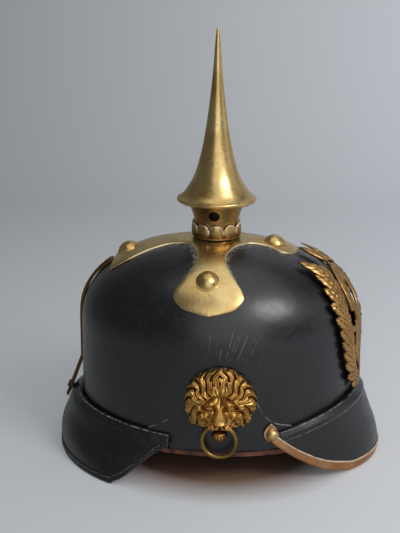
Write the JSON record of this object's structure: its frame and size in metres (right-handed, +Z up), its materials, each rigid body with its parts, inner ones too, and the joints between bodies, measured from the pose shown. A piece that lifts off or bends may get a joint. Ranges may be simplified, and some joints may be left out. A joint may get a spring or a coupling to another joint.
{
  "type": "pickelhaube",
  "caption": "Black leather spiked helmet with flared front and rear visors, brass cross base, fluted-neck spike that unscrews, lion-head bosses with swinging rings, front plate and leather lining",
  "frame": {"origin": "on the standing surface under the middle of the helmet's plan", "axes": "+Z up along the spike, helmet faces -Y, wearer's left is +X"},
  "size_m": [0.2204, 0.2827, 0.3595],
  "materials": {
    "black_leather": "satin waxed black, scuffed",
    "brown_leather": "matt, worn",
    "brass": "aged, dull golden brown with dark patina in recesses",
    "iron": "dull dark"
  },
  "bodies": {
    "helmet": {"leather_shell": "black_leather", "side_reinforcement_right": "black_leather", "side_reinforcement_left": "black_leather", "front_visor": "black_leather", "rear_visor": "black_leather", "front_visor_trim": "brass", "rear_visor_binding": "black_leather", "front_welt": "black_leather", "rear_welt": "black_leather", "trim_studs": "brass", "trim_stud_nuts": "iron", "cross_base": "brass", "cross_studs": "brass", "cross_stud_washers": "brown_leather", "cross_stud_nuts": "iron", "neck_collar": "brass", "petal_crown": "brass", "spike_socket": "iron", "rear_spine": "brass", "spine_screw": "iron", "spine_nut": "iron", "front_plate": "brass", "plate_posts": "brass", "plate_nuts": "iron", "lion_boss_right": "brass", "lion_boss_left": "brass", "lion_posts": "brass", "lion_nuts": "iron", "sweatband": "brown_leather", "liner": "brown_leather"},
    "washer": {"spike_washer": "brass"},
    "spike_unit": {"spike": "brass", "spike_base_plate": "brass", "spike_stem": "iron"},
    "right_ring": {"ring_right": "brass"},
    "left_ring": {"ring_left": "brass"}
  },
  "joints": [
    {"name": "spike_turn", "type": "hinge", "parent": "helmet", "child": "washer", "pos_m": [0, 0.0048, 0.216], "axis": [0, 0, 1], "range_deg": [0, 3240]},
    {"name": "spike_lift", "type": "slide", "parent": "washer", "child": "spike_unit", "axis": [0, 0, 1], "range_m": [0, 0.0136]},
    {"name": "ring_right_swing", "type": "hinge", "parent": "helmet", "child": "right_ring", "pos_m": [-0.10145, -0.0086, 0.05575], "axis": [0, 1, 0], "range_deg": [-6, 35]},
    {"name": "ring_left_swing", "type": "hinge", "parent": "helmet", "child": "left_ring", "pos_m": [0.10145, -0.0086, 0.05575], "axis": [0, -1, 0], "range_deg": [-6, 35]}
  ],
  "couplings": [
    {"joint": "spike_lift", "follows": "spike_turn", "m_per_rad": 0.00023873}
  ]
}
